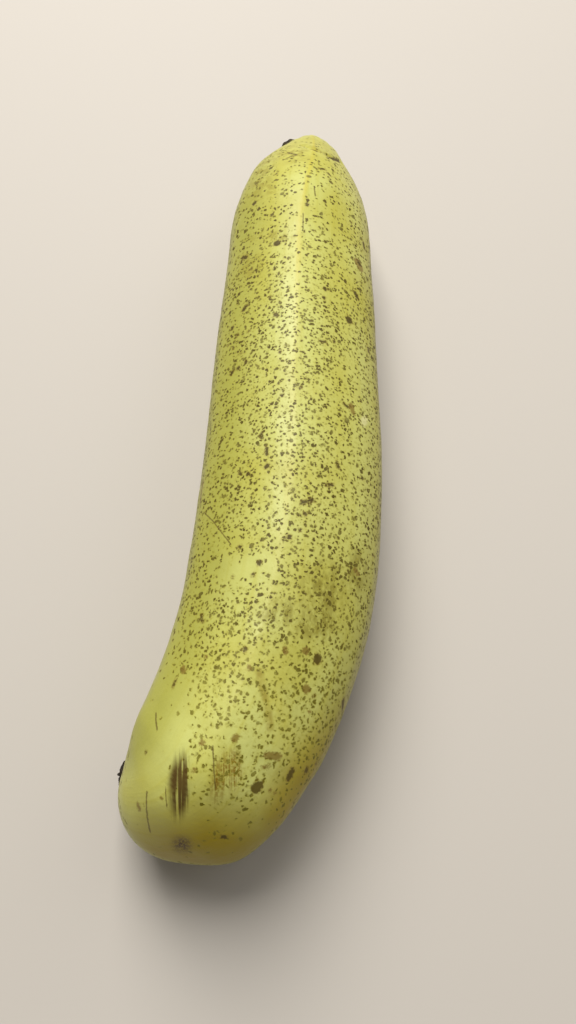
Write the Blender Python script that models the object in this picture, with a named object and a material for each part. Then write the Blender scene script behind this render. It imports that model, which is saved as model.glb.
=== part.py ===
# A ripe banana, one whole fruit, lying on a flat side with both ends curling to -X.
# It is lofted from rings set square to its axis, from the dry blossom tip to the cut stem.
# Station values are in millimetres and degrees. The finished mesh is in metres, with +Y running
# from the blossom end to the stem, +Z up, and the origin under the middle of its bounding box.

import bmesh
import bpy
from collections import namedtuple
from math import ceil, cos, exp, pi, radians, sin
from mathutils import Matrix, Vector

FRUIT = "banana"
MM = 0.001

# How finely the skin is faceted
SIDES = 64                # points round each ring
RING_PITCH = 3.2          # spacing of the rings along the axis

# The stations lie along the straight upper body. This turn brings the chord from end to end onto +Y.
CHORD_TURN = 6.3

# The fruit's weight presses its underside flat: it sinks by this much, and the skin spreads.
PRESSED_FLAT = 0.6

# x, y, z   centre of the ring, z above the surface that the fruit lies on
# radius    mean radius of the ring
# turn      heading of the axis from the middle of the fruit outwards, towards -X
# dip       how far that heading points below level
# ribbed    share of the full rib height
Station = namedtuple("Station", "x y z radius turn dip ribbed")
BLOSSOM_HALF = (
    Station(x=-31.3, y=-54.2, z=7.4, radius=3.8, turn=86, dip=38, ribbed=0.0),
    Station(x=-30.0, y=-54.4, z=8.6, radius=4.0, turn=85, dip=37, ribbed=0.0),
    Station(x=-27.2, y=-56.2, z=11.0, radius=7.2, turn=76, dip=32, ribbed=0.2),
    Station(x=-23.1, y=-57.8, z=13.5, radius=12.3, turn=63, dip=25, ribbed=0.5),
    Station(x=-18.4, y=-57.8, z=16.1, radius=16.4, turn=50, dip=17, ribbed=0.8),
    Station(x=-14.6, y=-54.6, z=18.0, radius=18.1, turn=38, dip=10, ribbed=1.0),
    Station(x=-11.2, y=-48.6, z=19.0, radius=18.5, turn=28, dip=6, ribbed=1.0),
    Station(x=-8.0, y=-41.0, z=19.3, radius=18.8, turn=20, dip=3, ribbed=1.0),
    Station(x=-3.6, y=-27.5, z=19.4, radius=19.5, turn=14, dip=1, ribbed=1.0),
    Station(x=-0.9, y=-12.5, z=19.7, radius=20.1, turn=8, dip=0, ribbed=1.0),
)
STEM_HALF = (
    Station(x=0.6, y=4.0, z=19.8, radius=20.2, turn=-3, dip=0, ribbed=1.0),
    Station(x=1.5, y=31.0, z=19.6, radius=19.7, turn=-2, dip=0, ribbed=1.0),
    Station(x=2.5, y=62.0, z=19.1, radius=18.7, turn=-2, dip=1, ribbed=1.0),
    Station(x=3.1, y=84.0, z=18.4, radius=17.5, turn=-2, dip=3, ribbed=0.9),
    Station(x=3.7, y=96.0, z=17.2, radius=14.9, turn=-2, dip=6, ribbed=0.8),
    Station(x=4.5, y=103.5, z=15.8, radius=11.9, turn=0, dip=13, ribbed=0.7),
    Station(x=5.3, y=108.6, z=14.3, radius=9.8, turn=6, dip=22, ribbed=0.6),
    Station(x=5.5, y=113.2, z=12.1, radius=8.0, turn=16, dip=31, ribbed=0.6),
    Station(x=4.2, y=116.8, z=9.5, radius=6.6, turn=28, dip=36, ribbed=0.4),
    Station(x=2.2, y=119.9, z=7.3, radius=6.7, turn=34, dip=39, ribbed=0.2),
)

# Five rounded ribs run the whole length. Angles go from the top of the fruit towards its +X side.
Rib = namedtuple("Rib", "angle strength")
RIBS = (
    Rib(angle=0, strength=1.0),
    Rib(angle=66, strength=0.9),
    Rib(angle=140, strength=0.8),
    Rib(angle=214, strength=0.8),
    Rib(angle=302, strength=1.0),
)
RIB_HEIGHT = 0.06         # share of the radius, crest above flank
RIB_SPREAD = 21.0         # degrees from the crest to where it has nearly died out
STEM_TWIST = 11.0         # degrees that the ribs wind round between the body and the neck
TWIST_FROM = 62.0         # y where the winding starts
TWIST_TO = 100.0          # y where it ends

# The blossom end is blunt: it is fuller beside the tip, and a little flatter on its outer side.
# Each swelling moves the skin away from the middle of the end, by depth at its centre.
END_MIDDLE = Vector((-13.0, -50.0, 18.6))
Swelling = namedtuple("Swelling", "x y z reach depth")
SWELLINGS = (
    Swelling(x=-29.8, y=-66.4, z=15.6, reach=11.5, depth=4.4),
    Swelling(x=-1.0, y=-64.0, z=18.6, reach=12.0, depth=-2.0),
    Swelling(x=-25.2, y=-48.6, z=6.4, reach=5.0, depth=0.8),
)

# Both ends are slightly hollow inside a raised rim: share of the ring's radius, depth of the hollow.
TIP_HOLLOW = ((0.80, 0.3), (0.45, 0.9))
CUT_HOLLOW = ((0.86, 0.2), (0.55, 0.6))

SKIN_COLOUR = (0.604, 0.560, 0.117, 1.0)
SKIN_ROUGHNESS = 0.42
DRY_COLOUR = (0.028, 0.018, 0.010, 1.0)
DRY_ROUGHNESS = 0.85
DRY_STEM_LENGTH = 2.5     # how far the drying has gone up the stem from the cut


def clear_scene():
    for obj in list(bpy.data.objects):
        bpy.data.objects.remove(obj, do_unlink=True)


def plain_material(name, colour, roughness):
    material = bpy.data.materials.new(name)
    material.use_nodes = True
    shader = material.node_tree.nodes["Principled BSDF"]
    shader.inputs["Base Color"].default_value = colour
    shader.inputs["Roughness"].default_value = roughness
    shader.inputs["Metallic"].default_value = 0.0
    return material


def axis_stations():
    """All stations in order, with every heading read from the stem towards the blossom tip."""
    stem = [s._replace(turn=-s.turn, dip=-s.dip) for s in STEM_HALF]
    return list(BLOSSOM_HALF) + stem


def chord_lengths(stations):
    """Distance along the fruit at each station, counting the change of radius too."""
    lengths = [0.0]
    for near, far in zip(stations, stations[1:]):
        gap = Vector(far[:4]) - Vector(near[:4])
        lengths.append(lengths[-1] + gap.length)
    return lengths


def slopes(lengths, stations):
    """Rate of change of every value at each station, for a smooth curve through them."""
    rates = []
    last = len(stations) - 1
    for index in range(len(stations)):
        before = max(index - 1, 0)
        after = min(index + 1, last)
        run_in = lengths[index] - lengths[before]
        run_out = lengths[after] - lengths[index]
        rate = []
        for low, mid, high in zip(stations[before], stations[index], stations[after]):
            if run_in == 0:
                rate.append((high - mid) / run_out)
            elif run_out == 0:
                rate.append((mid - low) / run_in)
            else:
                slope_in = (mid - low) / run_in
                slope_out = (high - mid) / run_out
                rate.append((slope_in * run_out + slope_out * run_in) / (run_in + run_out))
        rates.append(rate)
    return rates


def station_at(distance, lengths, stations, rates):
    """The station at a distance along the fruit, on a cubic Hermite curve."""
    index = 0
    while index < len(lengths) - 2 and distance > lengths[index + 1]:
        index += 1
    run = lengths[index + 1] - lengths[index]
    u = (distance - lengths[index]) / run
    keep = 2 * u**3 - 3 * u**2 + 1
    leave = (u**3 - 2 * u**2 + u) * run
    take = 3 * u**2 - 2 * u**3
    arrive = (u**3 - u**2) * run
    near, far = stations[index], stations[index + 1]
    rate_near, rate_far = rates[index], rates[index + 1]
    values = []
    for a, rate_a, b, rate_b in zip(near, rate_near, far, rate_far):
        values.append(keep * a + leave * rate_a + take * b + arrive * rate_b)
    return Station(*values)


def rib_twist(y):
    share = min(max((y - TWIST_FROM) / (TWIST_TO - TWIST_FROM), 0.0), 1.0)
    return STEM_TWIST * share * share * (3 - 2 * share)


def rib_relief(angle, twist):
    """Height of the ribs at an angle, in shares of their full height, about a mean of zero."""
    relief = 0.0
    for rib in RIBS:
        away = (angle - rib.angle - twist + 180) % 360 - 180
        relief += rib.strength * exp(-((away / RIB_SPREAD) ** 2))
    mean = sum(rib.strength for rib in RIBS) * RIB_SPREAD * pi**0.5 / 360
    return relief - mean


def swollen(point):
    """The point moved out or in by the swellings of the blossom end."""
    away = (point - END_MIDDLE).normalized()
    moved = point.copy()
    for swelling in SWELLINGS:
        distance = (point - Vector((swelling.x, swelling.y, swelling.z))).length
        moved += away * swelling.depth * exp(-((distance / swelling.reach) ** 2))
    return moved


def ring_axes(station):
    """Unit vectors of a ring: along the axis to the blossom tip, to its right, and up across it."""
    turn, dip = radians(station.turn), radians(station.dip)
    ahead = Vector((-sin(turn) * cos(dip), -cos(turn) * cos(dip), -sin(dip)))
    right = Vector((cos(turn), -sin(turn), 0.0))
    up = ahead.cross(right)
    return ahead, right, up


def ring_points(station):
    """The points of one ring, from the top of the fruit round by its +X side."""
    _, right, up = ring_axes(station)
    centre = Vector((station.x, station.y, station.z))
    twist = rib_twist(station.y)
    points = []
    for side in range(SIDES):
        angle = 360 * side / SIDES
        relief = 1 + RIB_HEIGHT * station.ribbed * rib_relief(angle, twist)
        out = right * sin(radians(angle)) + up * cos(radians(angle))
        points.append(swollen(centre + out * station.radius * relief))
    return points


def hollow_rings(rim, inward, steps):
    """Rings that step inwards from a rim, each sunk below it, and the point in the middle."""
    centre = sum(rim, Vector()) / len(rim)
    rings = []
    for share, depth in steps:
        rings.append([centre + (point - centre) * share + inward * depth for point in rim])
    middle = centre + inward * steps[-1][1]
    return rings, middle


def bridge(mesh, ring_a, ring_b, material_index):
    for side in range(SIDES):
        after = (side + 1) % SIDES
        face = mesh.faces.new((ring_a[side], ring_a[after], ring_b[after], ring_b[side]))
        face.material_index = material_index
        face.smooth = True


def close_end(mesh, ring, middle, material_index):
    tip = mesh.verts.new(middle)
    for side in range(SIDES):
        face = mesh.faces.new((ring[side], ring[(side + 1) % SIDES], tip))
        face.material_index = material_index
        face.smooth = True


def loft():
    """The whole skin as one closed mesh, in millimetres."""
    stations = axis_stations()
    lengths = chord_lengths(stations)
    rates = slopes(lengths, stations)
    ring_count = ceil(lengths[-1] / RING_PITCH) + 1
    distances = [lengths[-1] * index / (ring_count - 1) for index in range(ring_count)]
    course = [station_at(distance, lengths, stations, rates) for distance in distances]
    rings = [ring_points(station) for station in course]

    tip_ahead = ring_axes(course[0])[0]
    cut_ahead = ring_axes(course[-1])[0]
    tip_rings, tip_middle = hollow_rings(rings[0], -tip_ahead, TIP_HOLLOW)
    cut_rings, cut_middle = hollow_rings(rings[-1], cut_ahead, CUT_HOLLOW)

    mesh = bmesh.new()
    rows = [[mesh.verts.new(point) for point in ring] for ring in tip_rings[::-1] + rings + cut_rings]
    first_skin_row = len(TIP_HOLLOW) + 1
    last_skin_row = len(TIP_HOLLOW) + sum(d < lengths[-1] - DRY_STEM_LENGTH for d in distances)
    for index, (row, after) in enumerate(zip(rows, rows[1:])):
        is_skin = first_skin_row <= index < last_skin_row
        bridge(mesh, row, after, 0 if is_skin else 1)
    close_end(mesh, rows[0], tip_middle, 1)
    close_end(mesh, rows[-1], cut_middle, 1)
    bmesh.ops.recalc_face_normals(mesh, faces=mesh.faces)
    return mesh


def lay_down(mesh):
    """Turns the chord onto +Y, presses the underside flat where it rests, and sets the origin."""
    mesh.transform(Matrix.Rotation(radians(CHORD_TURN), 4, "Z"))
    for vert in mesh.verts:
        vert.co.z = max(vert.co.z - PRESSED_FLAT, 0.0)
    xs = [vert.co.x for vert in mesh.verts]
    ys = [vert.co.y for vert in mesh.verts]
    middle = Vector(((min(xs) + max(xs)) / 2, (min(ys) + max(ys)) / 2, 0.0))
    mesh.transform(Matrix.Translation(-middle))
    mesh.transform(Matrix.Scale(MM, 4))


def make_fruit(collection):
    mesh = loft()
    lay_down(mesh)
    data = bpy.data.meshes.new(FRUIT)
    mesh.to_mesh(data)
    mesh.free()
    data.materials.append(plain_material("banana_skin", SKIN_COLOUR, SKIN_ROUGHNESS))
    data.materials.append(plain_material("dried_ends", DRY_COLOUR, DRY_ROUGHNESS))
    fruit = bpy.data.objects.new(FRUIT, data)
    collection.objects.link(fruit)
    return fruit


def main():
    clear_scene()
    collection = bpy.data.collections.new(FRUIT)
    bpy.context.scene.collection.children.link(collection)
    make_fruit(collection)


main()
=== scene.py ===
import math
import random

import bpy
import numpy as np
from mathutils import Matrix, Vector
from mathutils.bvhtree import BVHTree


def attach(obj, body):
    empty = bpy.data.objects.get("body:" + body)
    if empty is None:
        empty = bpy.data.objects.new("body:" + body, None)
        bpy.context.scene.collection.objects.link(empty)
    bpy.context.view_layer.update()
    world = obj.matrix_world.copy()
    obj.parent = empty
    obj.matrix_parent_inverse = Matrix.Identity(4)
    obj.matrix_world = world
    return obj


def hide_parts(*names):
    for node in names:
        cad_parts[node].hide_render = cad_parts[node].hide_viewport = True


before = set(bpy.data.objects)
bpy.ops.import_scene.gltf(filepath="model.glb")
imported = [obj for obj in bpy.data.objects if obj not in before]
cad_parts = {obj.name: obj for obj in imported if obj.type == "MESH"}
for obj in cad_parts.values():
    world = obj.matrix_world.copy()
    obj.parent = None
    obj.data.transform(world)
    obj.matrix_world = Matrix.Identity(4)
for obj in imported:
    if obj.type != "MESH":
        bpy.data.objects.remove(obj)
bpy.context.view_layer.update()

# Lengths in the dictionaries are millimetres and angles are degrees. Meshes are made in metres.
mm = 0.001

# The form of the fruit, the same as in the solid: stations from the blossom tip to the cut stem.
# A station is x, y, z, radius, turn, dip and share of the rib height.
fruit = {
    "sides": 240,
    "rings": 376,
    "crowding": 0.42,         # points stand closer on the upper side, where most of the marks are
    "chordTurn": 6.3,
    "pressedFlat": 0.6,
    "blossomHalf": [
        (-31.3, -54.2, 7.4, 3.8, 86, 38, 0.0),
        (-30.0, -54.4, 8.6, 4.0, 85, 37, 0.0),
        (-27.2, -56.2, 11.0, 7.2, 76, 32, 0.2),
        (-23.1, -57.8, 13.5, 12.3, 63, 25, 0.5),
        (-18.4, -57.8, 16.1, 16.4, 50, 17, 0.8),
        (-14.6, -54.6, 18.0, 18.1, 38, 10, 1.0),
        (-11.2, -48.6, 19.0, 18.5, 28, 6, 1.0),
        (-8.0, -41.0, 19.3, 18.8, 20, 3, 1.0),
        (-3.6, -27.5, 19.4, 19.5, 14, 1, 1.0),
        (-0.9, -12.5, 19.7, 20.1, 8, 0, 1.0),
    ],
    "stemHalf": [
        (0.6, 4.0, 19.8, 20.2, -3, 0, 1.0),
        (1.5, 31.0, 19.6, 19.7, -2, 0, 1.0),
        (2.5, 62.0, 19.1, 18.7, -2, 1, 1.0),
        (3.1, 84.0, 18.4, 17.5, -2, 3, 0.9),
        (3.7, 96.0, 17.2, 14.9, -2, 6, 0.8),
        (4.5, 103.5, 15.8, 11.9, 0, 13, 0.7),
        (5.3, 108.6, 14.3, 9.8, 6, 22, 0.6),
        (5.5, 113.2, 12.1, 8.0, 16, 31, 0.6),
        (4.2, 116.8, 9.5, 6.6, 28, 36, 0.4),
        (2.2, 119.9, 7.3, 6.7, 34, 39, 0.2),
    ],
    "ribs": [(0, 1.0), (66, 0.9), (140, 0.8), (214, 0.8), (302, 1.0)],  # angle from the top, strength
    "ribHeight": 0.06,
    "ribSpread": 21.0,
    "stemTwist": 11.0,
    "twistFrom": 62.0,
    "twistTo": 100.0,
    "endMiddle": (-13.0, -50.0, 18.6),
    "swellings": [  # x, y, z, reach, depth
        (-29.8, -66.4, 15.6, 11.5, 4.4),
        (-1.0, -64.0, 18.6, 12.0, -2.0),
        (-25.2, -48.6, 6.4, 5.0, 0.8),
    ],
}

# The camera stands over the fruit and looks down its length. Pixels count from the top left corner.
photoView = {
    "place": (0.0, -69.1, 174.9),
    "tilt": 24.0,
    "focalPixels": 769.0,
    "wide": 576,
    "high": 1024,
}


def smooth(value, start, stop):
    share = np.clip((value - start) / (stop - start), 0.0, 1.0)
    return share * share * (3 - 2 * share)


def turnToChord(points):
    turn = math.radians(fruit["chordTurn"])
    turned = np.array(points, float)
    turned[..., 0] = points[..., 0] * math.cos(turn) - points[..., 1] * math.sin(turn)
    turned[..., 1] = points[..., 0] * math.sin(turn) + points[..., 1] * math.cos(turn)
    return turned


# the skin's form

def stationList():
    rest = [(x, y, z, r, -turn, -dip, ribbed) for x, y, z, r, turn, dip, ribbed in fruit["stemHalf"]]
    return np.array(fruit["blossomHalf"] + rest, float)


def courseOf(count):
    stations = stationList()
    gaps = np.linalg.norm(np.diff(stations[:, :4], axis=0), axis=1)
    reached = np.concatenate([[0.0], np.cumsum(gaps)])
    steps = np.diff(stations, axis=0) / gaps[:, None]
    rates = np.empty_like(stations)
    rates[0] = steps[0]
    rates[-1] = steps[-1]
    between = (gaps[1:] + gaps[:-1])[:, None]
    rates[1:-1] = (steps[:-1] * gaps[1:, None] + steps[1:] * gaps[:-1, None]) / between
    distances = np.linspace(0.0, reached[-1], count)
    index = np.clip(np.searchsorted(reached, distances) - 1, 0, len(gaps) - 1)
    run = gaps[index][:, None]
    u = (distances - reached[index])[:, None] / run
    values = (2 * u**3 - 3 * u**2 + 1) * stations[index] + (u**3 - 2 * u**2 + u) * run * rates[index]
    values += (3 * u**2 - 2 * u**3) * stations[index + 1] + (u**3 - u**2) * run * rates[index + 1]
    return distances, values


def ringAxes(values):
    turn, dip = np.radians(values[:, 4]), np.radians(values[:, 5])
    flat = np.zeros(len(values))
    ahead = np.stack([-np.sin(turn) * np.cos(dip), -np.cos(turn) * np.cos(dip), -np.sin(dip)], axis=1)
    right = np.stack([np.cos(turn), -np.sin(turn), flat], axis=1)
    return ahead, right, np.cross(ahead, right)


def ribHeights(angles, twist):
    relief = np.zeros((len(twist), len(angles)))
    for ribAngle, strength in fruit["ribs"]:
        away = (angles[None, :] - ribAngle - twist[:, None] + 180) % 360 - 180
        relief += strength * np.exp(-((away / fruit["ribSpread"]) ** 2))
    mean = sum(strength for _, strength in fruit["ribs"]) * fruit["ribSpread"] * math.pi**0.5 / 360
    return relief - mean


def swollen(points):
    away = points - np.array(fruit["endMiddle"])
    away /= np.linalg.norm(away, axis=-1, keepdims=True)
    moved = points.copy()
    for x, y, z, reach, depth in fruit["swellings"]:
        distance = np.linalg.norm(points - np.array((x, y, z)), axis=-1, keepdims=True)
        moved += away * depth * np.exp(-((distance / reach) ** 2))
    return moved


def skinGrid():
    distances, values = courseOf(fruit["rings"])
    even = np.arange(fruit["sides"]) * 360 / fruit["sides"]
    angles = even - math.degrees(fruit["crowding"]) * np.sin(np.radians(even))
    _, right, up = ringAxes(values)
    twist = fruit["stemTwist"] * smooth(values[:, 1], fruit["twistFrom"], fruit["twistTo"])
    radius = values[:, 3:4] * (1 + fruit["ribHeight"] * values[:, 6:7] * ribHeights(angles, twist))
    across = np.sin(np.radians(angles))[None, :, None]
    over = np.cos(np.radians(angles))[None, :, None]
    points = values[:, None, :3] + (right[:, None] * across + up[:, None] * over) * radius[:, :, None]
    return distances, values, angles, twist, swollen(points)


def gridNormals(points):
    along = np.gradient(points, axis=0)
    around = np.roll(points, -1, axis=1) - np.roll(points, 1, axis=1)
    normals = np.cross(around, along)
    normals /= np.linalg.norm(normals, axis=2, keepdims=True) + 1e-9
    outward = points - points.mean(axis=1, keepdims=True)
    flip = np.sign((normals * outward).sum(axis=2).mean())
    return normals * flip


# Beside the dry tip the rings crowd together, so the skin there is relaxed until it is even.
tipEase = {
    "middle": (-25.5, -46.5, 7.5),
    "reach": 7.0,
    "fromTip": (5.2, 7.5),
    "rounds": 260,
    "rows": 90,
    "pace": 0.5,
}


def easeBesideTip(points, values):
    rows = tipEase["rows"]
    patch = points[:rows].copy()
    weight = np.exp(-((np.linalg.norm(patch - np.array(tipEase["middle"]), axis=2) / tipEase["reach"]) ** 2))
    fromTip = np.linalg.norm(patch - values[0, :3], axis=2)
    weight *= smooth(fromTip, *tipEase["fromTip"])
    weight[:2] = 0.0
    weight[-2:] = 0.0
    for _ in range(tipEase["rounds"]):
        mean = (np.roll(patch, 1, axis=1) + np.roll(patch, -1, axis=1)) / 2
        inner = mean.copy()
        inner[1:-1] = (mean[1:-1] + (patch[:-2] + patch[2:]) / 2) / 2
        patch += (inner - patch) * (tipEase["pace"] * weight)[:, :, None]
    eased = points.copy()
    eased[:rows] = patch
    return eased


print("shaping the skin")
distances, values, angles, twist, grid = skinGrid()
grid = easeBesideTip(grid, values)
tipAhead, _, _ = ringAxes(values[:1])
cutAhead, _, _ = ringAxes(values[-1:])
turned = turnToChord(grid)
lowest, highest = turned.reshape(-1, 3).min(axis=0), turned.reshape(-1, 3).max(axis=0)
middle = np.array(((lowest[0] + highest[0]) / 2, (lowest[1] + highest[1]) / 2, 0.0))


def toPart(points):
    placed = turnToChord(np.asarray(points, float)) - middle
    placed[..., 2] = np.maximum(placed[..., 2] - fruit["pressedFlat"], 0.0)
    return placed


# the view, and finding what a pixel of it falls on

cameraPlace = turnToChord(np.array(photoView["place"])) - middle
tilt, roll = math.radians(photoView["tilt"]), math.radians(fruit["chordTurn"])
viewAhead = turnToChord(np.array((0.0, math.sin(tilt), -math.cos(tilt))))
viewUp = turnToChord(np.array((0.0, math.cos(tilt), math.sin(tilt))))
viewRight = np.cross(viewAhead, viewUp)


def pixelOf(points):
    offset = points - cameraPlace
    depth = offset @ viewAhead
    x = photoView["wide"] / 2 + photoView["focalPixels"] * (offset @ viewRight) / depth
    y = photoView["high"] / 2 - photoView["focalPixels"] * (offset @ viewUp) / depth
    return x, y


def gridTree(points):
    rows, sides = points.shape[:2]
    corners = [tuple(p) for p in points.reshape(-1, 3)]
    quads = []
    for row in range(rows - 1):
        for side in range(sides):
            after = (side + 1) % sides
            a, b = row * sides + side, row * sides + after
            quads.append((a, b, b + sides, a + sides))
    return BVHTree.FromPolygons(corners, quads)


def hitAt(tree, pixel):
    x = (pixel[0] - photoView["wide"] / 2) / photoView["focalPixels"]
    y = (photoView["high"] / 2 - pixel[1]) / photoView["focalPixels"]
    ray = Vector(viewAhead + viewRight * x + viewUp * y).normalized()
    place, _, _, _ = tree.ray_cast(Vector(cameraPlace), ray)
    return None if place is None else np.array(place)


# Distances past these count as far from a mark: millimetres, and shares of a stroke's half width.
farFromMark = 4.0
farAside = 6.0
turnedAway = (0.05, 0.3)  # patches fade where the skin turns away from the camera
noLength = 1e-9


def distanceToLine(points, start, stop):
    run = stop - start
    squared = float(run @ run)
    if squared < noLength:
        return np.linalg.norm(points - start, axis=-1)
    share = np.clip(((points - start) @ run) / squared, 0.0, 1.0)
    return np.linalg.norm(points - start - share[..., None] * run, axis=-1)


def endsOf(tree, path):
    # where a path of pixels falls on the skin, as two places at least
    ends = [hitAt(tree, pixel) for pixel in path]
    ends = [end for end in ends if end is not None]
    return ends * 2 if len(ends) == 1 else ends


def fieldOf(points, tree, marks):
    # distance to the nearest mark's edge in millimetres, negative inside it
    field = np.full(points.shape[:-1], farFromMark)
    for mark in marks:
        ends, half = endsOf(tree, mark[:-1]), mark[-1]
        for start, stop in zip(ends, ends[1:]):
            field = np.minimum(field, distanceToLine(points, start, stop) - half)
    return field


def strokesOf(points, facingOut, tree, strokes):
    # the side distance to the nearest stroke in shares of its half width, and the distance to its edge
    side, field = np.full(points.shape[:-1], farAside), np.full(points.shape[:-1], farFromMark)
    for stroke in strokes:
        ends, half = endsOf(tree, stroke[:-1]), stroke[-1]
        for start, stop in zip(ends, ends[1:]):
            run = (stop - start) / np.linalg.norm(stop - start)
            gap = distanceToLine(points, start, stop) - half
            signed = ((points - start) * np.cross(facingOut, run)).sum(axis=-1) / half
            nearer = gap < field
            side, field = np.where(nearer, signed, side), np.where(nearer, gap, field)
    return np.clip(side, -farAside, farAside), field


def patchOf(pixels, facing, patches):
    # soft ellipses given by pixel: centre x, centre y, half width, half height, turn, edge softness
    cover = np.zeros(facing.shape)
    for x, y, wide, high, turn, soft in patches:
        dx, dy = pixels[0] - x, pixels[1] - y
        c, s = math.cos(math.radians(turn)), math.sin(math.radians(turn))
        reach = np.sqrt(((dx * c + dy * s) / wide) ** 2 + ((dy * c - dx * s) / high) ** 2)
        cover = np.maximum(cover, 1 - smooth(reach, 1 - soft, 1 + soft))
    return cover * smooth(facing, *turnedAway)


# marks of this fruit: the pixels they run through, then half their width in millimetres
marks = {
    "dark": [
        ((358, 262), (360, 265), 0.5), ((349, 320), 1.0), ((307, 205), 0.55),
        ((254, 204), (255, 203), 0.55), ((363, 243), (364, 249), 0.42), ((276, 243), (278, 243), 0.72),
        ((272, 215), 0.5), ((325, 289), 0.6), ((242, 257), (246, 257), 0.5),
        ((243, 310), (246, 306), 0.5), ((232, 328), 0.5), ((237, 335), 0.45), ((246, 362), 0.45),
        ((238, 368), 0.52), ((231, 373), 0.5), ((318, 659), 0.95), ((256, 788), (258, 786), 1.0),
        ((289, 778), (292, 771), 0.62), ((306, 772), (307, 769), 0.5), ((222, 837), (225, 837), 0.45),
        ((316, 763), 0.35), ((314, 696), 0.35), ((245, 649), 0.5), ((146, 752), 0.28),
        ((343, 701), (343, 708), 0.5), ((176, 680), (173, 687), 0.28),
        ((202, 615), (201, 619), (204, 622), 0.25), ((288, 153), (296, 155), 0.3),
        ((327, 156), (333, 158), (340, 161), 0.5), ((311, 149), (317, 151), 0.25), ((277, 174), 0.4),
        ((319, 169), (325, 170), 0.3), ((328, 174), (330, 176), 0.35), ((270, 297), 0.4),
        ((324, 298), 0.45), ((355, 293), (357, 297), 0.55), ((344, 404), (348, 407), 0.34),
        ((267, 466), 0.6), ((240, 473), 0.45), ((248, 474), 0.5), ((302, 503), (313, 500), 0.38),
        ((305, 514), 0.45), ((289, 537), 0.5), ((259, 563), 0.55), ((300, 530), 0.4),
        ((233, 577), 0.3), ((253, 575), 0.4), ((373, 556), 0.4), ((327, 485), (333, 485), 0.32),
        ((261, 434), (262, 438), 0.35), ((266, 448), (267, 454), 0.36), ((337, 463), (338, 467), 0.4),
        ((362, 478), 0.5), ((240, 547), 0.45), ((300, 388), 0.4), ((282, 395), 0.45),
        ((368, 348), (369, 352), 0.4), ((320, 341), (326, 342), 0.32), ((334, 342), 0.4),
        ((241, 262), 0.42), ((251, 268), 0.42), ((280, 352), 0.38), ((276, 315), 0.5),
        ((228, 345), 0.35), ((233, 348), 0.38), ((241, 353), 0.3), ((249, 331), 0.35),
    ],
    "brown": [
        ((357, 262), (360, 268), 1.15), ((351, 405), (353, 413), 0.6), ((183, 668), (184, 671), 0.55),
        ((267, 755), (279, 757), 0.62), ((262, 767), (269, 767), 0.32), ((138, 804), (139, 809), 0.5),
        ((204, 481), (202, 492), (201, 503), 0.4), ((306, 651), 0.75), ((307, 689), 0.85),
        ((285, 649), (286, 652), 0.5), ((202, 743), 0.55), ((234, 739), (237, 737), 0.55),
        ((249, 668), 0.45), ((206, 657), 0.4), ((310, 712), 0.4), ((355, 570), (358, 574), 0.5),
        ((194, 770), 0.45), ((162, 798), 0.35), ((270, 790), 0.4), ((275, 793), 0.35),
    ],
    "strokes": [
        ((205, 513), (213, 521), (222, 533), (230, 543), 0.13),
        ((156, 715), (156, 722), (157, 728), 0.17),
        ((147, 794), (147, 812), (150, 831), 0.2),
        ((213, 748), (214, 770), (215, 786), 0.12),
        ((166, 789), (167, 805), 0.1),
        ((303, 215), (303, 228), 0.14),
        ((314, 188), (315, 195), 0.17),
        ((288, 158), (296, 155.5), 0.22),
        ((305, 148), (316, 150), 0.2),
    ],
    "crease": [((259, 672), (264, 692), (268, 712), (270, 727), 0.5)],
    "grooves": [
        ((303, 145), (310, 148), (317, 151), 0.15),
        ((327, 155), (334, 159), (342, 163), 0.4),
    ],
}
patches = {  # centre x, centre y, half width, half height, turn, softness of the edge
    "scratched": [(180, 786, 10, 32, 3, 0.35)],
    "wedge": [(175, 779, 5.5, 18, 8, 0.55)],
    "scuffed": [(233, 770, 9, 20, 5, 0.5), (220, 778, 8, 24, 12, 0.6)],
    "bruised": [
        (324, 590, 22, 26, 8, 0.6), (316, 622, 24, 16, -8, 0.6), (282, 612, 20, 12, 0, 0.8),
        (357, 570, 9, 22, 0, 0.7),
    ],
    # painted shade over the blossom end and the lower right flank: mostly shade and warm bounce light, partly
    # the end's own olive tone
    "paintedEndShade": [(196, 858, 92, 46, -8, 0.75), (300, 800, 30, 80, 32, 0.8)],
    "starred": [(182, 845, 8, 7, 0, 0.8)],
    "smudged": [
        (266, 187, 12, 5, 40, 0.8), (275, 236, 22, 5, -6, 0.8), (250, 265, 9, 12, 10, 0.8),
        (290, 150, 20, 11, 10, 0.9), (324, 143, 20, 10, 20, 0.9), (262, 175, 9, 26, 24, 0.9),
    ],
    "crease": [(268, 704, 4.5, 34, -14, 0.8), (276, 690, 10, 26, -10, 0.9), (283, 735, 8, 18, 10, 0.9)],
    "pale": [(364, 421, 3.5, 5, 10, 0.5)],
    "bare": [
        (135, 745, 52, 94, 17, 0.34), (150, 830, 70, 40, 0, 0.4), (225, 850, 60, 22, -12, 0.5),
        (248, 571, 26, 14, -10, 0.95),
    ],
}

print("placing the marks")
placed = toPart(grid)
tree = gridTree(placed)
placedNormals = gridNormals(placed)
toCamera = cameraPlace - placed
toCamera /= np.linalg.norm(toCamera, axis=2, keepdims=True)
facing = (placedNormals * toCamera).sum(axis=2)
pixels = pixelOf(placed)
darkField = fieldOf(placed, tree, marks["dark"])
brownField = fieldOf(placed, tree, marks["brown"])
strokeSide, strokeField = strokesOf(placed, placedNormals, tree, marks["strokes"])
creaseField = fieldOf(placed, tree, marks["crease"])
grooveField = fieldOf(placed, tree, marks["grooves"])
cover = {name: patchOf(pixels, facing, patches[name]) for name in patches}

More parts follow.
